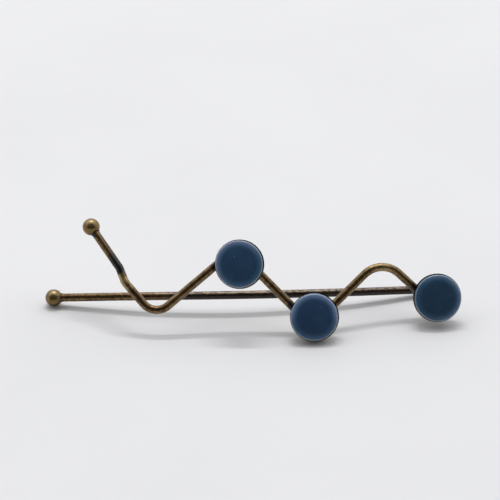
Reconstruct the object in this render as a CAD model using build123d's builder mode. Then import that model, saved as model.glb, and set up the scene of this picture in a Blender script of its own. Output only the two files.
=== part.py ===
from build123d import *
from collections import namedtuple
from math import pi, radians, sqrt, tan
import os

# A waved hairpin as it lies on a table: one bent brass wire with three cups soldered on,
# a glass cabochon in each cup, and a drilled ball on each end of the wire.
# Lengths in millimetres, angles in degrees. X runs along the pin, Y away from its face, Z up.

# The wire, laid out flat: along the pin, up the face, out of the face.
wire_diameter = 1.45
pin_length = 68.9  # from the back ball's centre to the corner of the loop
wave_height = 13.6  # from the lowest corner of the wave to its highest
leg_gap = 5.8  # between the centre lines of the two legs, at mid length
back_bow_radius = 125.0
wave_bow_radius = 155.0
wave_bend_radius = 4.0
loop_bend_radius = 2.6

# The ball tips
ball_diameter = 3.0
ball_bore_clearance = 0.03

# The cabochons and their cups
glass_diameter = 7.95
glass_depth = 2.55
glass_dome_rise = 0.55
glass_edge_radius = 0.95
glass_back_bevel = 0.5
seat_clearance = 0.12  # round the glass
glue_film = 0.03  # under the glass
cup_wall = 0.13
cup_floor = 0.42
cup_rim_height = 0.75
cup_back_radius = 1.1
cup_inside_radius = 0.5
cup_tilt = 2.0  # each cup leans back a little more than the wave
solder_sink = 0.08  # how deep a cup's back is sunk on the wire
solder_pool_diameter = 4.6

# How the pin lies
lean_angle = 29.0  # the face leans back from upright
turn_angle = 3.34  # the loop end is turned away
dip_angle = 0.79  # the loop end is lower

wire_radius = wire_diameter / 2
glass_radius = glass_diameter / 2
pocket_radius = glass_radius + seat_clearance
cup_radius = pocket_radius + cup_wall
cup_back = wire_radius - solder_sink
cup_face = cup_back + cup_floor
cup_rim = cup_face + cup_rim_height
glass_back = cup_face + glue_film
glass_front = glass_back + glass_depth

# The waved leg, from its ball tip to the loop. along is a share of the pin's length, up of the
# wave's height, behind of the leg gap, and bend of the wave's bend radius.
Bend = namedtuple("Bend", "along up behind bend")
WAVE_LEG = [
    Bend(0.1004, 0.923, 0.60, 0.00),
    Bend(0.1701, 0.409, 0.13, 0.62),
    Bend(0.1835, 0.229, 0.02, 0.62),
    Bend(0.2557, -0.215, 0.00, 0.75),
    Bend(0.4589, 0.626, 0.00, 1.00),
    Bend(0.6482, -0.373, 0.00, 1.00),
    Bend(0.8277, 0.479, 0.00, 1.15),
]
LOOP_CORNER = Bend(0.9820, -0.252, 0.00, 0.00)

# The back leg, from the loop to its ball tip
Turn = namedtuple("Turn", "along up")
BACK_LEG = [Turn(1.0, 0.013), Turn(0.75, 0.011), Turn(0.5, 0.011), Turn(0.25, 0.015), Turn(0.0, 0.0)]

# The cups. Each looks by turn a little more towards the ball tips than the wave does, and lift is
# how much higher it stands on its solder for that. right and high say how the glass sits off the
# middle, as shares of its clearance.
Cup = namedtuple("Cup", "name along up turn lift right high")
CUPS = [
    Cup("cabochon_upper", 0.4709, 0.438, 6.0, 0.10, 0.0, 0.0),
    Cup("cabochon_middle", 0.6532, -0.249, 5.5, 0.05, -0.6, 0.0),
    Cup("cabochon_end", 0.9665, -0.055, 11.0, 0.35, 0.0, 0.0),
]


# The flat layout stands on its back leg and is then leaned, dipped and turned.
lean = Location((0, 0, 0), (90 - lean_angle, 0, 0))
dip = Location((0, 0, 0), (0, dip_angle, 0))
turn = Location((0, 0, 0), (0, 0, turn_angle))
layout = Plane(turn * dip * lean)


def layout_point(x, up, out):
    """A point of the flat layout, where it lies."""
    return layout.from_local_coords((x, up, out))


def wave_out(x):
    """How far out the waved leg's bow stands at x."""
    return leg_gap - (x - pin_length / 2) ** 2 / (2 * wave_bow_radius)


def wave_point(bend):
    x = bend.along * pin_length
    return layout_point(x, bend.up * wave_height, wave_out(x) - bend.behind * leg_gap)


def back_point(turn_row):
    x = turn_row.along * pin_length
    out = -((x - pin_length / 2) ** 2) / (2 * back_bow_radius)
    return layout_point(x, turn_row.up * wave_height, out)


def easy_radius(before, corner, after):
    """The largest even arc that two runs leave room for."""
    run_in, run_out = corner - before, after - corner
    half_turn = radians(run_in.get_angle(run_out)) / 2
    return 0.45 * min(run_in.length, run_out.length) / tan(half_turn)


# The route of the wire: straight runs joined by arcs, ball to ball.
wave_points = [wave_point(bend) for bend in WAVE_LEG]
back_points = [back_point(row) for row in BACK_LEG]
route_points = wave_points + [wave_point(LOOP_CORNER)] + back_points
wave_radii = [bend.bend * wave_bend_radius for bend in WAVE_LEG[1:]]
bow_radii = [easy_radius(*back_points[i - 1 : i + 2]) for i in range(1, len(back_points) - 1)]
route_radii = wave_radii + [loop_bend_radius, loop_bend_radius] + bow_radii
print("bend radii", [round(radius, 2) for radius in route_radii])


def cup_plane(cup):
    """The plane that a cup is measured from, on the wire's centre line but for its lift."""
    x = cup.along * pin_length
    slope = (x - pin_length / 2) / wave_bow_radius
    along = layout_point(1, 0, -slope) - layout_point(0, 0, 0)
    out = layout_point(slope, 0, 1) - layout_point(0, 0, 0)
    flat = Plane(origin=layout_point(x, cup.up * wave_height, wave_out(x)), x_dir=along, z_dir=out)
    own_turn = Location((0, 0, 0), (-cup_tilt, -cup.turn, 0))
    return Plane(flat.location * own_turn).offset(cup.lift)


def section_plane(plane):
    """A plane through the axis of a cup: its x is the radius, its y the height above the wire."""
    return Plane(origin=plane.origin, x_dir=plane.x_dir, z_dir=-plane.y_dir)


# The wire with its three cups, one soldered piece
with BuildPart() as pin_wire:
    with BuildLine():
        route = FilletPolyline(*route_points, radius=route_radii)
    with BuildSketch(Plane(origin=route @ 0, z_dir=route % 0)):
        Circle(wire_radius)
    sweep()
    for cup in CUPS:
        seat = cup_plane(cup)
        with BuildSketch(section_plane(seat)) as section:
            with BuildLine():
                Polyline(
                    (0, -cup.lift),
                    (solder_pool_diameter / 4, -cup.lift),
                    (solder_pool_diameter / 2, cup_back),
                    (cup_radius, cup_back),
                    (cup_radius, cup_rim),
                    (pocket_radius, cup_rim),
                    (pocket_radius, cup_face),
                    (0, cup_face),
                    close=True,
                )
            make_face()
            inside_corner = section.vertices().group_by(Axis.X)[-2].sort_by(Axis.Y)[0]
            fillet(inside_corner, radius=cup_inside_radius)
            back_corner = section.vertices().group_by(Axis.X)[-1].sort_by(Axis.Y)[0]
            fillet(back_corner, radius=cup_back_radius)
        revolve(axis=Axis(seat.origin, seat.z_dir))
pin_wire.part.label = "pin_wire"


# The glass cabochons, low domes with a rounded edge
def make_cabochon(cup):
    seat = cup_plane(cup)
    slide = seat_clearance * Vector(cup.right, cup.high, 0)
    placed = Plane(origin=seat.from_local_coords(slide), x_dir=seat.x_dir, z_dir=seat.z_dir)
    with BuildPart() as glass:
        with BuildSketch(section_plane(placed)) as section:
            with BuildLine():
                Polyline(
                    (0, glass_front),
                    (0, glass_back),
                    (glass_radius, glass_back),
                    (glass_radius, glass_front - glass_dome_rise),
                )
                dome_radius = (glass_radius**2 + glass_dome_rise**2) / (2 * glass_dome_rise)
                RadiusArc((glass_radius, glass_front - glass_dome_rise), (0, glass_front), -dome_radius)
            make_face()
            back_corner, front_corner = section.vertices().group_by(Axis.X)[-1].sort_by(Axis.Y)
            chamfer(back_corner, length=glass_back_bevel)
            fillet(front_corner, radius=glass_edge_radius)
        revolve(axis=Axis(placed.origin, placed.z_dir))
    glass.part.label = cup.name
    return glass.part


# The ball tips, drilled to the middle for the wire's end
def make_ball(name, centre, towards):
    inward = (towards - centre).normalized()
    across = inward.cross(Vector(0, 0, 1)).normalized()
    radius = ball_diameter / 2
    bore_radius = wire_radius + ball_bore_clearance
    mouth = sqrt(radius**2 - bore_radius**2)
    with BuildPart() as ball:
        with BuildSketch(section_plane(Plane(origin=centre, x_dir=across, z_dir=inward))):
            with BuildLine():
                ThreePointArc((0, -radius), (radius, 0), (bore_radius, mouth))
                Polyline(
                    (bore_radius, mouth),
                    (bore_radius, -ball_bore_clearance),
                    (0, -ball_bore_clearance),
                    (0, -radius),
                )
            make_face()
        revolve(axis=Axis(centre, inward))
    ball.part.label = name
    return ball.part


pieces = [pin_wire.part]
pieces += [make_cabochon(cup) for cup in CUPS]
pieces.append(make_ball("ball_tip_front", route_points[0], route_points[1]))
pieces.append(make_ball("ball_tip_back", route_points[-1], route_points[-2]))

# The origin is on the table under the middle of the whole pin.
boxes = [piece.bounding_box() for piece in pieces]
low = Vector(*(min(tuple(box.min)[i] for box in boxes) for i in range(3)))
high = Vector(*(max(tuple(box.max)[i] for box in boxes) for i in range(3)))
to_origin = Location((-(low.X + high.X) / 2, -(low.Y + high.Y) / 2, -low.Z))

os.makedirs("parts", exist_ok=True)
for piece in pieces:
    placed_piece = piece.moved(to_origin)
    placed_piece.label = piece.label
    export_step(placed_piece, f"parts/{piece.label}.step")
    print(piece.label, "volume", round(piece.volume, 2))
wire_share = route.length * pi * wire_radius**2
print("wire length", round(route.length, 1), "section times length", round(wire_share, 2))
print("size", tuple(high - low), "moved by", tuple(to_origin.position))
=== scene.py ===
# %% [markdown]
# # A waved hairpin with three blue glass cabochons
#
# The real thing is one length of brass wire, bent into a straight back leg and a waved front
# leg. Three shallow cups are soldered to the wave, a glass cabochon is glued into each cup, and
# a drilled ball closes each end of the wire. The measured solids are loaded first and never
# change: this file only dresses them, in the same frame and in metres.

# %% Load the measured solids
from math import asin, cos, pi, radians, sin, sqrt

import bmesh
import bpy
import numpy as np
from mathutils import Matrix, Vector


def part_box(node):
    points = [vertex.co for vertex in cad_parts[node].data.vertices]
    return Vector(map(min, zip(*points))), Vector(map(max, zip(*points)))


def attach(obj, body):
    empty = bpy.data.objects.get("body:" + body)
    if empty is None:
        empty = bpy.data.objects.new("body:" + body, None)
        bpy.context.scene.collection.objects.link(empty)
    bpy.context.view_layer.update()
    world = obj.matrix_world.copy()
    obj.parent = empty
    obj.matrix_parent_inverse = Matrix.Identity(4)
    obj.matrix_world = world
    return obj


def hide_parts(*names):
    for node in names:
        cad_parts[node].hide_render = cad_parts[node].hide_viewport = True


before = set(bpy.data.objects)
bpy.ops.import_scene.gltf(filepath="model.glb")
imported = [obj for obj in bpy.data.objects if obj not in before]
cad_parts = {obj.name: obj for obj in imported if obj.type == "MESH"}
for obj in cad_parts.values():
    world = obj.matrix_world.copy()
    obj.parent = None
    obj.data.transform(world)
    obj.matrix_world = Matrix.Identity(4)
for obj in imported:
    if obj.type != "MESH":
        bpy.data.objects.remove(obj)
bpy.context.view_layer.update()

MM = 0.001
print("solids", sorted(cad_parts))

# %% [markdown]
# ## The camera
#
# A small object photographed from a third of a metre with a long lens keeps nearly parallel
# lines. The camera looks down at 32 degrees, along the table, with the pin lying across.

# %% Camera
LOOK_AT = Vector((-0.32, 22.52, 0.0)) * MM
CAMERA_DISTANCE = 334 * MM
CAMERA_HEIGHT_ANGLE = radians(32)
LENS_MM = 129.6
SENSOR_MM = 36

camera_data = bpy.data.cameras.new("camera")
camera_data.lens = LENS_MM
camera_data.sensor_width = SENSOR_MM
camera_data.clip_start = 10 * MM
camera_data.clip_end = 10
camera = bpy.data.objects.new("camera", camera_data)
bpy.context.scene.collection.objects.link(camera)
towards_camera = Matrix.Rotation(-CAMERA_HEIGHT_ANGLE, 3, "X") @ Vector((0, -1, 0))
camera.location = LOOK_AT + CAMERA_DISTANCE * towards_camera
camera.rotation_euler = (-towards_camera).to_track_quat("-Z", "Y").to_euler()
bpy.context.scene.camera = camera
print("camera at mm", [round(v / MM, 1) for v in camera.location])

# %% [markdown]
# ## Shader maths that reads like sums
#
# A worn metal is a stack of masks: where it is rubbed, where it is stained, where it is deep.
# Masks are easiest to read as sums, so one small class wraps a socket of a material and turns
# plus, minus, times and divide into Math nodes. Every other node comes from one method.

# %% The socket class and the recipe class
class Field:
    """A number that varies over a surface."""

    def __init__(self, recipe, socket):
        self.recipe = recipe
        self.socket = socket

    def maths(self, operation, first, second):
        settings = {"operation": operation}
        return self.recipe.node("ShaderNodeMath", settings, {0: first, 1: second})

    def __add__(self, other):
        return self.maths("ADD", self, other)

    def __radd__(self, other):
        return self.maths("ADD", other, self)

    def __sub__(self, other):
        return self.maths("SUBTRACT", self, other)

    def __rsub__(self, other):
        return self.maths("SUBTRACT", other, self)

    def __mul__(self, other):
        return self.maths("MULTIPLY", self, other)

    def __rmul__(self, other):
        return self.maths("MULTIPLY", other, self)

    def __truediv__(self, other):
        return self.maths("DIVIDE", self, other)

    def __pow__(self, other):
        return self.maths("POWER", self, other)


class Recipe:
    """The nodes of one material, in the order a finisher would lay them on."""

    def __init__(self, owner):
        owner.use_nodes = True
        self.owner = owner
        self.tree = owner.node_tree
        self.tree.nodes.clear()

    def node(self, kind, settings=None, values=None, out=0):
        made = self.tree.nodes.new(kind)
        for name, value in (settings or {}).items():
            if name == "stops":
                set_stops(made.color_ramp, value)
            else:
                setattr(made, name, value)
        for name, value in (values or {}).items():
            if isinstance(value, Field):
                self.tree.links.new(value.socket, made.inputs[name])
            else:
                made.inputs[name].default_value = value
        return Field(self, made.outputs[out]) if made.outputs else None

    def step(self, value, low, high):
        """0 below low, 1 above high, smooth between. High may be the smaller of the two."""
        settings = {"interpolation_type": "SMOOTHSTEP"}
        values = {"Value": value, "From Min": low, "From Max": high}
        return self.node("ShaderNodeMapRange", settings, values)

    def mix(self, share, first, second):
        """Colour first where share is 0, second where it is 1."""
        values = {0: share, 6: first, 7: second}
        return self.node("ShaderNodeMix", {"data_type": "RGBA"}, values, out=2)

    def noise(self, place, scale, detail, roughness):
        values = {"Vector": place, "Scale": scale, "Detail": detail, "Roughness": roughness}
        return self.node("ShaderNodeTexNoise", None, values)

    def vector(self, operation, first, second, out=0):
        values = {0: first, 1: second}
        return self.node("ShaderNodeVectorMath", {"operation": operation}, values, out=out)

    def distance(self, place, point):
        return self.vector("DISTANCE", place, point, out="Value")

    def dot(self, place, direction):
        return self.vector("DOT_PRODUCT", place, direction, out="Value")

    def paint(self, constants, varying):
        """The shader: constants sit on its own sockets, and only what varies is linked."""
        shader = self.node("ShaderNodeBsdfPrincipled", None, {**constants, **varying})
        self.node("ShaderNodeOutputMaterial", {"target": "ALL"}, {"Surface": shader})
        return self.owner


def set_stops(ramp, stops):
    """Places the colours of a ramp, given as (place, colour) pairs."""
    while len(ramp.elements) > 2:
        ramp.elements.remove(ramp.elements[-1])
    while len(ramp.elements) < len(stops):
        ramp.elements.new(0.5)
    for element, (place, colour) in zip(ramp.elements, stops):
        element.position = place
        element.color = colour


def colour(red, green, blue):
    """A screen colour, 0 to 255, as the linear numbers that a shader wants."""
    shares = [v / 255 for v in (red, green, blue)]
    return tuple([v / 12.92 if v <= 0.04045 else ((v + 0.055) / 1.055) ** 2.4 for v in shares] + [1])


print("mid grey is", [round(v, 3) for v in colour(128, 128, 128)])

# %% [markdown]
# ## Measuring the solids
#
# Each glass and each ball is a turned form, so a middle and an axis say where it sits. Both are
# measured on the loaded solid: the surface of a turned form spreads evenly round its axis, so
# the odd direction of its spread is the axis. A dressed piece made there can't drift off.

# %% Measure a turned solid
def surface_samples(node):
    """Middles and areas of a solid's faces."""
    mesh = node.data
    middles = np.array([tuple(face.center) for face in mesh.polygons])
    areas = np.array([face.area for face in mesh.polygons])
    return middles, areas


def turned_axis(node, facing):
    """The middle and the axis of a turned solid. The axis points to the same side as facing."""
    middles, areas = surface_samples(node)
    middle = (middles * areas[:, None]).sum(0) / areas.sum()
    offset = middles - middle
    spread, directions = np.linalg.eigh((offset * areas[:, None]).T @ offset / areas.sum())
    gaps = (abs(spread[0] - spread[1]), abs(spread[2] - spread[1]))
    axis = directions[:, 0] if gaps[1] < gaps[0] else directions[:, 2]
    axis = Vector(axis) * (1 if Vector(axis).dot(facing) > 0 else -1)
    return Vector(middle), axis


def lowest_along(node, axis):
    return min(axis.dot(vertex.co) for vertex in node.data.vertices)


CABOCHONS = ["cabochon_upper", "cabochon_middle", "cabochon_end"]
# How far each glass slid off the middle of its cup before the glue set: millimetres right and up.
SLIDES = [(-0.03, 0.04), (-0.05, 0.05), (-0.06, 0.0)]
glass_places = {}
for name, (right, high) in zip(CABOCHONS, SLIDES):
    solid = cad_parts[name]
    middle, axis = turned_axis(solid, Vector((0, -1, 0)))
    back = middle + axis * (lowest_along(solid, axis) - axis.dot(middle))
    across = Vector((0, 0, 1)).cross(axis).normalized()
    back = back + (across * right + axis.cross(across) * high) * MM
    glass_places[name] = (back, axis)
    print(name, "back at mm", [round(v / MM, 2) for v in back], "faces", [round(v, 3) for v in axis])

# %% [markdown]
# ## The glass cabochons
#
# A cabochon is a disc of glass ground with a low dome and a rounded edge, and it has a small
# bevel at the back so that it drops into its cup. It could be a scaled sphere, but then the
# face would curve too much: the real dome is only half a millimetre high. So the outline
# is drawn with two arcs and spun round the axis, as the glass is ground in the lathe.

# %% Draw and spin an outline
FACE_RADIUS = 4.05 * MM
SEAT_RADIUS = 3.84 * MM
SEAT_HEIGHT = 0.78 * MM
GLASS_DEPTH = 2.55 * MM
DOME_RISE = 0.55 * MM
EDGE_RADIUS = 0.42 * MM
BACK_BEVEL = 0.45 * MM
DOME_STEPS = 16
EDGE_STEPS = 14
TURN_STEPS = 144
WELD_DISTANCE = 0.002 * MM


def arc_on(mesh, start, centre, angle, steps):
    """Swings a vertex round a centre in the XZ plane and returns the last vertex."""
    made = bmesh.ops.spin(mesh, geom=[start], cent=centre, axis=(0, 1, 0), angle=angle, steps=steps)
    return made["geom_last"][0]


def run_on(mesh, start, step):
    """Draws a straight line from a vertex and returns its other end."""
    made = bmesh.ops.extrude_vert_indiv(mesh, verts=[start])
    bmesh.ops.translate(mesh, verts=made["verts"], vec=step)
    return made["verts"][0]


def turn_outline(mesh):
    """Spins the outline a full turn about Z, then closes and faces it."""
    outline = mesh.verts[:] + mesh.edges[:]
    bmesh.ops.spin(
        mesh, geom=outline, cent=(0, 0, 0), axis=(0, 0, 1), angle=2 * pi,
        steps=TURN_STEPS, use_merge=True,
    )
    bmesh.ops.remove_doubles(mesh, verts=mesh.verts, dist=WELD_DISTANCE)
    bmesh.ops.recalc_face_normals(mesh, faces=mesh.faces)


def upright(middle, axis):
    """Turns a piece made round Z so that it stands on middle and faces along axis."""
    across = Vector((0, 0, 1)).cross(axis).normalized()
    above = axis.cross(across)
    turn = Matrix((across, above, axis)).transposed().to_4x4()
    return Matrix.Translation(middle) @ turn


def keep_piece(mesh, name, material, node_names):
    """Makes the object, smooth shaded, riding on the pin in place of its solid."""
    for face in mesh.faces:
        face.smooth = True
    data = bpy.data.meshes.new(name)
    mesh.to_mesh(data)
    mesh.free()
    data.materials.append(material)
    piece = bpy.data.objects.new(name, data)
    bpy.context.scene.collection.objects.link(piece)
    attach(piece, "root")
    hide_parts(*node_names)
    low = [min(v.co[i] for v in data.vertices) / MM for i in range(3)]
    high = [max(v.co[i] for v in data.vertices) / MM for i in range(3)]
    print(name, len(data.polygons), "faces, size mm", [round(b - a, 2) for a, b in zip(low, high)])


def cabochon_mesh():
    """A cabochon standing on its back at the origin, facing up Z."""
    mesh = bmesh.new()
    dome_radius = (FACE_RADIUS**2 + DOME_RISE**2) / (2 * DOME_RISE)
    dome_centre = GLASS_DEPTH - dome_radius
    inside = dome_radius - EDGE_RADIUS
    reach = FACE_RADIUS - EDGE_RADIUS
    edge_centre = dome_centre + sqrt(inside**2 - reach**2)
    dome_angle = asin(reach / inside)
    top = mesh.verts.new((0, 0, GLASS_DEPTH))
    end = arc_on(mesh, top, (0, 0, dome_centre), dome_angle, DOME_STEPS)
    end = arc_on(mesh, end, (reach, 0, edge_centre), pi / 2 - dome_angle, EDGE_STEPS)
    overhang = FACE_RADIUS - SEAT_RADIUS
    end = run_on(mesh, end, (0, 0, SEAT_HEIGHT + 0.5 * overhang - end.co.z))
    end = run_on(mesh, end, (-overhang, 0, -0.5 * overhang))
    end = run_on(mesh, end, (0, 0, BACK_BEVEL - end.co.z))
    end = run_on(mesh, end, (-BACK_BEVEL, 0, -BACK_BEVEL))
    run_on(mesh, end, (-end.co.x, 0, 0))
    turn_outline(mesh)
    return mesh


def map_face(mesh):
    """A map that lies on the face like a clock dial: middle 0.5, edge half a unit away."""
    layer = mesh.loops.layers.uv.new("dial")
    for face in mesh.faces:
        for corner in face.loops:
            spot = corner.vert.co / (2 * FACE_RADIUS)
            corner[layer].uv = (spot.x + 0.5, spot.y + 0.5)


# %% [markdown]
# ## Blue glass
#
# The glass is a dark navy with a satin polish. Its face looks even. Round the edge the blue turns
# lighter, most on the side the light comes from: that is a painted reflection. A fine pale line at
# the very rim is a painted highlight, stronger on the lower half. A grain or two of dust and a
# smudge that hardly shows keep it from looking new. It could be true clear glass, but the real one
# lets almost nothing through, so a glossy dark body with a painted lighter edge band is closer.

# %% The glass material
WALL_SHADE = colour(22, 26, 34)
# Colour of the painted highlight line at the glass rim.
RIM_HIGHLIGHT = colour(164, 174, 184)
SMUDGE = colour(96, 112, 130)
DUST = colour(168, 176, 184)
PALER_CLOUD = 1.16


def blue_glass(name, body, edge_reflection, painted_light, painted_light_angle, specks, roll):
    """Body colour, a painted edge reflection, painted light towards one side, and specks as (x, y,
    size) on the dial.

    Roll turns the clouds and smudges, so that no two glasses carry the same ones.
    """
    r = Recipe(bpy.data.materials.new(name))
    dial = r.node("ShaderNodeUVMap", {"uv_map": "dial"})
    turn = {"Vector": dial, "Location": (roll, -roll, 0), "Rotation": (0, 0, roll)}
    marks = r.node("ShaderNodeMapping", None, turn)
    place = r.vector("SUBTRACT", dial, (0.5, 0.5, 0))
    share = 2 * r.vector("LENGTH", place, (0, 0, 0), out="Value")
    side = r.dot(place, (2 * cos(painted_light_angle), 2 * sin(painted_light_angle), 0))
    cloud = r.noise(marks, 3.2, 4, 0.6)
    grain = r.noise(marks, 210, 2, 0.5)

    # Painted reflection: the rounded edge turns a lighter blue, more on the lit side, with painted
    # light there.
    edge = r.step(share + 0.05 * (cloud - 0.5), 0.66, 0.97)
    # Painted highlight: a fine pale line at the rim, stronger on the lower half.
    rim_highlight = r.step(share, 0.95, 0.975) * r.step(share, 0.999, 0.99)
    wall = r.step(share, 0.99, 0.999)
    lit = r.step(side + 0.12 * (cloud - 0.5), -0.55, 0.25)
    low_side = r.step(r.dot(place, (0, -2, 0)), 0.1, 0.7)
    paler_body = tuple(v * PALER_CLOUD for v in body[:3]) + (1,)
    face = r.mix(r.step(cloud, 0.35, 0.7), body, paler_body)
    face = r.mix((0.72 + 0.16 * lit) * edge, face, edge_reflection)
    face = r.mix(0.5 * lit * edge ** 2, face, painted_light)
    face = r.mix((0.4 + 0.4 * low_side) * rim_highlight, face, RIM_HIGHLIGHT)
    face = r.mix(0.9 * wall, face, WALL_SHADE)

    dust = 0
    for x, y, size in specks:
        spot = r.distance(dial, (x / 2 + 0.5, y / 2 + 0.5, 0))
        dust = dust + 0.5 * r.step(spot + 0.006 * (grain - 0.5), size, size * 0.4)
    smear = r.noise(r.vector("MULTIPLY", marks, (1.4, 5.0, 1)), 3.0, 3, 0.6)
    smear = r.step(smear, 0.52, 0.75) * r.step(share, 0.9, 0.3)
    face = r.mix(0.015 * smear, face, SMUDGE)
    face = r.mix(dust, face, DUST)

    rough = 0.2 + 0.04 * smear + 0.05 * cloud + 0.35 * dust + 0.05 * edge
    height = 0.35 * cloud + 0.12 * grain + 0.3 * dust
    bump = r.node("ShaderNodeBump", None, {"Strength": 0.12, "Distance": 0.05 * MM, "Height": height})
    constants = {"IOR": 1.5, "Specular IOR Level": 0.42}
    varying = {"Base Color": face, "Roughness": rough, "Normal": bump}
    return r.paint(constants, varying)


# %% [markdown]
# ## Three glasses that are not alike
#
# Glass of one batch still differs a little, and each disc turns another side to the light. So
# each gets its own body, painted edge reflection and painted light, the side that the painted
# light is on, and its specks. They could share one material, but then they would look stamped out.

# %% Make the cabochons
PAINTED_LIGHT_UPPER_LEFT = radians(135)
PAINTED_LIGHT_TOP = radians(85)
PAINTED_LIGHT_RIGHT = radians(20)
ROLL_STEP = 1.7

# Body, painted edge reflection and painted light as screen colours, the side of the painted light, and
# specks.
GLASS_FINISHES = {
    "cabochon_upper": (
        (43, 70, 99), (70, 109, 143), (136, 144, 172), PAINTED_LIGHT_UPPER_LEFT,
        [(-0.2, 0.31, 0.010)],
    ),
    "cabochon_middle": (
        (41, 66, 95), (68, 105, 141), (150, 164, 204), PAINTED_LIGHT_TOP,
        [(0.32, 0.43, 0.010), (-0.3, -0.78, 0.012)],
    ),
    "cabochon_end": (
        (38, 63, 86), (62, 99, 131), (110, 134, 160), PAINTED_LIGHT_RIGHT,
        [(0.1, -0.4, 0.006)],
    ),
}

for number, name in enumerate(CABOCHONS):
    body, edge_reflection, painted_light, painted_light_angle, specks = GLASS_FINISHES[name]
    colours = [colour(*body), colour(*edge_reflection), colour(*painted_light)]
    finish = blue_glass("blue_glass_" + name, *colours, painted_light_angle, specks, ROLL_STEP * number)
    mesh = cabochon_mesh()
    map_face(mesh)
    bmesh.ops.transform(mesh, matrix=upright(*glass_places[name]), verts=mesh.verts)
    keep_piece(mesh, "glass_" + name.split("_")[1], finish, [name])

# %% [markdown]
# ## Where the wear and the stains are
#
# Wear, stains and the dark skin of the back leg each have their own place on the pin. Spots are
# given in millimetres in the shared frame. What follows a leg is given in the pin's own flat
# layout instead: along the pin, up its face and out of its face. It could be painted by hand,
# but a place in millimetres stays sharp from near and far.

# %% Places on the pin, in millimetres
ALONG = (0.9982, 0.0582, -0.0138)
UP_THE_FACE = (-0.0162, 0.4847, 0.8745)
OUT_OF_FACE = (0.0576, -0.8727, 0.4848)
LAYOUT_CORNER = (-34.61, 0.08, 3.80)
TIP = Vector((-27.9, 6.7, 14.6))
KINK = Vector((-22.8, 0.5, 10.1))

# The two bends that are rubbed brightest and also carry a painted highlight: place, reach and wear.
WORN_AND_HIGHLIT_BENDS = [((-21.9, -1.2, 8.5), 2.4, 0.9), ((22.6, 2.2, 10.2), 3.2, 0.5)]

# The bowed surface halfway between the legs, which tells the back leg from the waved one.
PIN_MIDDLE = 34.45
HALF_LEG_GAP = 2.9
HALFWAY_BOW = 277
BACK_LEG_OUT = (-0.3, 0.8)
BACK_LEG_UP = (3.4, 2.2)
DARK_SKIN_ALONG = (14, 24)

# The cups, as heights above the middle of the wire and distances from the cup's axis.
SEAT_DEPTH = 1.1
CUP_HEIGHT = (0.55, 0.75)
CUP_REACH = (5.2, 4.6)
# LIP_HEIGHT and LIP_LOW_HALF place a painted highlight on each cup's lip, on its lower half only.
LIP_HEIGHT = (1.6, 1.75)
LIP_LOW_HALF = (0.5, -2.0)

# The run below the front ball: how far it reaches from its own middle, where its stains and
# its painted shade start and end as distances from the ball, and its stained side and the side
# with painted shade.
TIP_RUN_REACH = (7.0, 6.4)
SOLDER_RING = (2.6, 2.2)
HEAT_STAIN_GROWS = (4.2, 9.2)
HEAT_STAIN_STOPS = (10.4, 10.1)
SHADED_SIDE_STARTS = (1.5, 3.5)
STAINED_SIDE = (-0.85, 0, -0.53)
SHADED_SIDE = (0.83, 0, 0.55)
CUP_SEATS = [(back / MM - SEAT_DEPTH * axis, axis) for back, axis in glass_places.values()]


def place_in_mm(r):
    """The place of a surface point, in millimetres."""
    spot = r.node("ShaderNodeTexCoord", out="Object")
    return r.node("ShaderNodeVectorMath", {"operation": "SCALE"}, {0: spot, "Scale": 1 / MM})


print("cup seats at mm", [[round(v, 1) for v in seat] for seat, facing in CUP_SEATS])

# %% [markdown]
# ## Antique brass
#
# The wire is brass, dipped to turn dark and then rubbed, so that it is bright where fingers and
# hair reach and nearly black where they don't. Three things make it read as metal at this
# scale: a brown skin that comes and goes along the wire, a speckle of pits, and fine lines left
# from drawing the wire. Where the ball was soldered on, the heat left a black stain. A thin coat
# of wax over it all softens the shine and pales the edges of the wire.
# Some light is painted in as well: a highlight on the two brightest bends, a paler top on the back
# leg's dark skin, shade on one side of the run below the front ball, and a pale highlight on the lower
# half of each cup's lip.

# %% The wire's finish
BRASS_RUBBED = colour(190, 166, 116)
BRASS_OLIVE = colour(118, 93, 54)
BRASS_BROWN = colour(80, 56, 32)
BRASS_LIGHT = colour(130, 107, 67)
# The pale top of the back leg's dark skin is a painted highlight.
SKIN_LIT_TOP = colour(128, 112, 94)
SKIN_BROWN = colour(58, 45, 36)
SKIN_DARK = colour(32, 25, 21)
TIP_SHADE = colour(66, 50, 34)
STAIN_BLACK = colour(15, 13, 15)
CUP_BROWN = colour(50, 37, 27)
CUP_LIP_HIGHLIGHT = colour(146, 128, 100)
WAX = {"IOR": 1.5, "Coat Weight": 0.4, "Coat Roughness": 0.3, "Coat IOR": 1.5}


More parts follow.
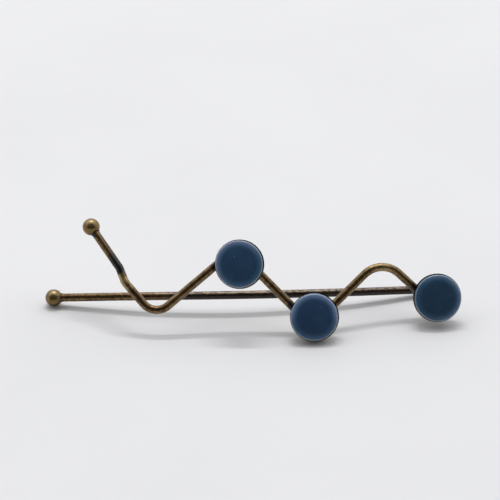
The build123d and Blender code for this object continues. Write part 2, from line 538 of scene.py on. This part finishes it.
def antique_brass(name):
    r = Recipe(bpy.data.materials.new(name))
    mm = place_in_mm(r)
    home = r.vector("SUBTRACT", mm, LAYOUT_CORNER)
    along = r.dot(home, ALONG)
    up = r.dot(home, UP_THE_FACE)
    out = r.dot(home, OUT_OF_FACE)

    cloud = r.noise(mm, 0.35, 4, 0.6)
    patch = r.noise(mm, 1.3, 4, 0.65)
    pits = r.noise(mm, 6.5, 3, 0.6)
    grain = r.noise(mm, 22, 2, 0.5)
    drawn = r.noise(r.vector("MULTIPLY", mm, (0.5, 7.0, 7.0)), 1.6, 2, 0.5)

    from_middle = along - PIN_MIDDLE
    halfway = HALF_LEG_GAP - from_middle * from_middle / HALFWAY_BOW
    back_leg = r.step(halfway - out, *BACK_LEG_OUT) * r.step(up, *BACK_LEG_UP)
    oxide = back_leg * r.step(along + 5 * (cloud - 0.5), *DARK_SKIN_ALONG)

    in_cup = 0
    lip_highlight = 0
    for seat, facing in CUP_SEATS:
        off = r.vector("SUBTRACT", mm, tuple(seat))
        height = r.dot(off, tuple(facing))
        sideways = r.vector("CROSS_PRODUCT", off, tuple(facing))
        reach = r.vector("LENGTH", sideways, (0, 0, 0), out="Value")
        near = r.step(reach, *CUP_REACH)
        # A pale painted highlight on the lower half of each cup's lip.
        low_half = r.step(r.dot(off, UP_THE_FACE), *LIP_LOW_HALF)
        in_cup = in_cup + r.step(height, *CUP_HEIGHT) * near
        lip_highlight = lip_highlight + r.step(height, *LIP_HEIGHT) * near * low_half

    tip_run = (KINK - TIP).normalized()
    from_tip = r.dot(r.vector("SUBTRACT", mm, tuple(TIP)), tuple(tip_run))
    ragged = from_tip + 0.9 * (patch - 0.5)
    near_tip = r.step(r.distance(mm, tuple((TIP + KINK) / 2)), *TIP_RUN_REACH)
    facing_out = r.node("ShaderNodeNewGeometry", out="Normal")
    ring = r.step(ragged, *SOLDER_RING) * r.step(r.dot(facing_out, STAINED_SIDE), -0.35, 0.1)
    heat = r.step(ragged, *HEAT_STAIN_GROWS) * r.step(ragged, *HEAT_STAIN_STOPS)
    stain = (ring + heat) * near_tip

    # Rubbed wear and a painted highlight at the two brightest bends.
    worn_and_highlit = 0
    for spot, size, wear in WORN_AND_HIGHLIT_BENDS:
        worn_and_highlit = worn_and_highlit + wear * r.step(r.distance(mm, spot), size, size * 0.35)

    rubbed = r.step(patch + 0.6 * (cloud - 0.5), 0.3, 0.72)
    stops = [(0.0, BRASS_BROWN), (0.6, BRASS_OLIVE), (1.0, BRASS_LIGHT)]
    skin = r.node("ShaderNodeValToRGB", {"stops": stops}, {"Fac": rubbed})
    speckle = r.step(pits + 0.25 * (patch - 0.5), 0.52, 0.66)
    skin = r.mix(0.2 * speckle, skin, SKIN_DARK)
    skin = r.mix(0.2 * r.step(drawn, 0.5, 0.7), skin, BRASS_BROWN)
    # Brighter rubbed brass at the bends, partly a painted highlight.
    skin = r.mix(0.8 * worn_and_highlit * r.step(patch, 0.25, 0.55), skin, BRASS_RUBBED)
    # Painted shade on the right side of the run below the front ball.
    shaded = r.step(r.dot(facing_out, SHADED_SIDE), -0.1, 0.7) * near_tip
    skin = r.mix(0.75 * shaded * r.step(from_tip, *SHADED_SIDE_STARTS), skin, TIP_SHADE)
    # Painted highlight: the top of the back leg's dark skin is paler, where light falls from above.
    top_side = r.dot(facing_out, (0, 0, 1))
    crust_and_lit_top = r.mix(r.step(top_side + 0.5 * (patch - 0.5), 0.62, 0.95), SKIN_BROWN, SKIN_LIT_TOP)
    blotch = r.noise(r.vector("MULTIPLY", mm, (1.3, 2.4, 2.4)), 1.0, 3, 0.75)
    crust_and_lit_top = r.mix(0.9 * r.step(blotch, 0.47, 0.58), crust_and_lit_top, SKIN_DARK)
    skin = r.mix(oxide, skin, crust_and_lit_top)
    cup_skin = r.mix(0.6 * speckle, CUP_BROWN, SKIN_DARK)
    # Painted highlight on the lower lip of the cup.
    cup_skin = r.mix(lip_highlight * (1 - 0.5 * speckle), cup_skin, CUP_LIP_HIGHLIGHT)
    skin = r.mix(r.step(in_cup, 0.2, 0.8), skin, cup_skin)
    dull = r.step(stain, 0.05, 0.9)
    skin = r.mix(dull, skin, STAIN_BLACK)

    metal = 0.88 - 0.4 * dull - 0.1 * oxide - 0.5 * r.step(lip_highlight, 0.1, 0.9)
    rough = 0.22 + 0.08 * patch + 0.08 * speckle + 0.16 * oxide + 0.14 * worn_and_highlit
    height = 0.4 * drawn + 0.35 * pits + 0.15 * grain + oxide * (0.6 * pits + 0.9 * blotch)
    bump = r.node("ShaderNodeBump", None, {"Strength": 0.22, "Distance": 0.03 * MM, "Height": height})
    varying = {"Base Color": skin, "Metallic": metal, "Roughness": rough, "Normal": bump}
    return r.paint(WAX, varying)


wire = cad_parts["pin_wire"]
wire.data.materials.clear()
wire.data.materials.append(antique_brass("antique_brass"))
print("wire finish has", len(wire.data.materials[0].node_tree.nodes), "nodes")

# %% [markdown]
# ## The ball tips
#
# A ball on each end keeps the wire from scratching. It is a drilled brass bead, pushed on and
# soldered, and the solder leaves a small collar where the wire goes in. The outline is an arc
# from the far pole to the mouth of the hole, then the collar, then back down the hole.

# %% Make the ball tips
BALL_RADIUS = 1.5 * MM
HOLE_RADIUS = 0.755 * MM
HOLE_FLOOR = 0.03 * MM
COLLAR_LENGTH = 0.22 * MM
COLLAR_WIDTH = 0.16 * MM
COLLAR_TAPER = 0.09 * MM
COLLAR_LIP = 0.01 * MM
STEEP_SHARE = 0.32
BALL_STEPS = 44

BALL_OLIVE = colour(106, 84, 44)
BALL_GOLD = colour(134, 110, 64)
# Colour of a painted highlight on each ball, and the side of the ball it lies on.
BALL_HIGHLIGHT = colour(160, 142, 104)
HIGHLIGHT_SIDE = (0, -0.45, 0.893)


def ball_mesh():
    """A drilled ball round the origin with its hole facing up Z."""
    mesh = bmesh.new()
    shoulder = asin((HOLE_RADIUS + COLLAR_WIDTH) / BALL_RADIUS)
    mouth = sqrt(BALL_RADIUS**2 - HOLE_RADIUS**2)
    pole = mesh.verts.new((0, 0, -BALL_RADIUS))
    end = arc_on(mesh, pole, (0, 0, 0), -(pi - shoulder), BALL_STEPS)
    rise = mouth + COLLAR_LENGTH - end.co.z
    end = run_on(mesh, end, (-COLLAR_TAPER, 0, STEEP_SHARE * rise))
    end = run_on(mesh, end, (HOLE_RADIUS + COLLAR_LIP - end.co.x, 0, (1 - STEEP_SHARE) * rise))
    end = run_on(mesh, end, (-COLLAR_LIP, 0, -2 * COLLAR_LIP))
    end = run_on(mesh, end, (0, 0, -end.co.z - HOLE_FLOOR))
    run_on(mesh, end, (-end.co.x, 0, 0))
    turn_outline(mesh)
    return mesh


def ball_brass(name, middle, towards, joint_colour):
    """Rubbed olive gold, with a painted highlight on top, and the colour of its joint round the hole.
    """
    r = Recipe(bpy.data.materials.new(name))
    mm = place_in_mm(r)
    height = r.dot(r.vector("SUBTRACT", mm, tuple(middle / MM)), tuple(towards))
    patch = r.noise(mm, 0.9, 4, 0.6)
    pits = r.noise(mm, 7.0, 3, 0.6)
    grain = r.noise(mm, 24, 2, 0.5)
    rubbed = r.step(patch, 0.35, 0.65)
    skin = r.mix(rubbed, BALL_OLIVE, BALL_GOLD)
    facing_out = r.node("ShaderNodeNewGeometry", out="Normal")
    # Painted highlight on top of the ball.
    painted_highlight = r.step(r.dot(facing_out, HIGHLIGHT_SIDE), 0.75, 0.97)
    skin = r.mix(0.5 * painted_highlight, skin, BALL_HIGHLIGHT)
    speckle = r.step(pits, 0.55, 0.7)
    skin = r.mix(0.35 * speckle, skin, BRASS_BROWN)
    joint = r.step(height + 0.3 * (patch - 0.5), 1.22, 1.42)
    skin = r.mix(joint, skin, joint_colour)
    rough = 0.3 + 0.1 * patch + 0.08 * speckle + 0.2 * joint
    relief = 0.6 * pits + 0.3 * grain + 0.8 * patch
    bump = r.node("ShaderNodeBump", None, {"Strength": 0.25, "Distance": 0.03 * MM, "Height": relief})
    metal = 1 - 0.4 * joint - 0.15 * speckle
    varying = {"Base Color": skin, "Metallic": metal, "Roughness": rough, "Normal": bump}
    return r.paint(WAX, varying)


# Which way each hole faces, roughly, and the colour of its joint.
FRONT_RUN = KINK - TIP
BACK_RUN = Vector((34.7, -2.2, 1.9))
BALL_TIPS = {
    "ball_tip_front": (FRONT_RUN, STAIN_BLACK),
    "ball_tip_back": (BACK_RUN, SKIN_BROWN),
}
for name, (towards, joint_colour) in BALL_TIPS.items():
    low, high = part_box(name)
    middle = (low + high) / 2
    axis = turned_axis(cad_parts[name], towards)[1]
    print(name, "hole faces", [round(v, 3) for v in axis])
    mesh = ball_mesh()
    bmesh.ops.transform(mesh, matrix=upright(middle, axis), verts=mesh.verts)
    finish = ball_brass("brass_" + name, middle, axis, joint_colour)
    keep_piece(mesh, "bead_" + name.split("_")[2], finish, [name])

# %% [markdown]
# ## Floor
#
# The pin lies on a plain pale sheet. Only a slow change of tone and a faint tooth are on it, so
# that the thin shadows stay the one thing that is seen there.

# %% Floor
FLOOR_HALF_SIZE = 2.5
PAPER_TONES = (colour(233, 233, 235), colour(236, 236, 237))


def floor_finish():
    r = Recipe(bpy.data.materials.new("floor_paper"))
    mm = place_in_mm(r)
    cloud = r.noise(mm, 0.02, 3, 0.5)
    tooth = r.noise(mm, 4.0, 2, 0.5)
    tone = r.mix(r.step(cloud, 0.3, 0.7), *PAPER_TONES)
    bump = r.node("ShaderNodeBump", None, {"Strength": 0.04, "Distance": 0.02 * MM, "Height": tooth})
    return r.paint({"Roughness": 0.75, "Specular IOR Level": 0.2}, {"Base Color": tone, "Normal": bump})


floor_mesh = bmesh.new()
bmesh.ops.create_grid(floor_mesh, x_segments=2, y_segments=2, size=FLOOR_HALF_SIZE)
floor_data = bpy.data.meshes.new("floor")
floor_mesh.to_mesh(floor_data)
floor_mesh.free()
floor_data.materials.append(floor_finish())
floor = bpy.data.objects.new("floor", floor_data)
bpy.context.scene.collection.objects.link(floor)
print("floor", FLOOR_HALF_SIZE * 2, "m across")

# %% [markdown]
# ## Light
#
# The wires throw thin, clear shadows and the discs throw soft ones, which says that the light is
# a long strip, lying along the pin, behind and above it, with much soft light from overhead.
# What the glass and the wire mirror, the side where the camera stands, is dark: without that the
# navy would turn grey and the wire would lose its dark core.

# %% Lights
STRIP_PLACE = Vector((0, 0.352, 0.828))
STRIP_SIZE = (0.45, 0.034)
STRIP_POWER = 2.15
WALL_HEIGHT_ANGLE = radians(28)
WALL_EDGE = (0.28, 0.7)
WALL_LIGHT = 0.06
ROOM_LIGHT = 0.9
OVERHEAD_LIGHT = 0.47
ROOM_WHITE = (0.985, 0.99, 1, 1)

lamp_data = bpy.data.lights.new("strip", "AREA")
lamp_data.shape = "RECTANGLE"
lamp_data.size, lamp_data.size_y = STRIP_SIZE
lamp_data.energy = STRIP_POWER
lamp = bpy.data.objects.new("strip", lamp_data)
lamp.location = STRIP_PLACE
lamp.rotation_euler = (-STRIP_PLACE).to_track_quat("-Z", "Y").to_euler()
bpy.context.scene.collection.objects.link(lamp)

world = bpy.data.worlds.new("soft_room")
bpy.context.scene.world = world
sky = Recipe(world)
aim = sky.node("ShaderNodeTexCoord", out="Generated")
dark_wall = Matrix.Rotation(-WALL_HEIGHT_ANGLE, 3, "X") @ Vector((0, -1, 0))
dome_light = sky.step(sky.dot(aim, (0, 0, 1)), 0.25, 0.9)
dark_side = sky.step(sky.dot(aim, tuple(dark_wall)), *WALL_EDGE)
strength = WALL_LIGHT + (1 - dark_side) * (ROOM_LIGHT + OVERHEAD_LIGHT * dome_light)
background = sky.node("ShaderNodeBackground", None, {"Color": ROOM_WHITE, "Strength": strength})
sky.node("ShaderNodeOutputWorld", None, {"Surface": background})
bpy.context.scene.view_settings.view_transform = "Standard"
print("strip lamp at m", [round(v, 3) for v in STRIP_PLACE], "and", len(sky.tree.nodes), "sky nodes")
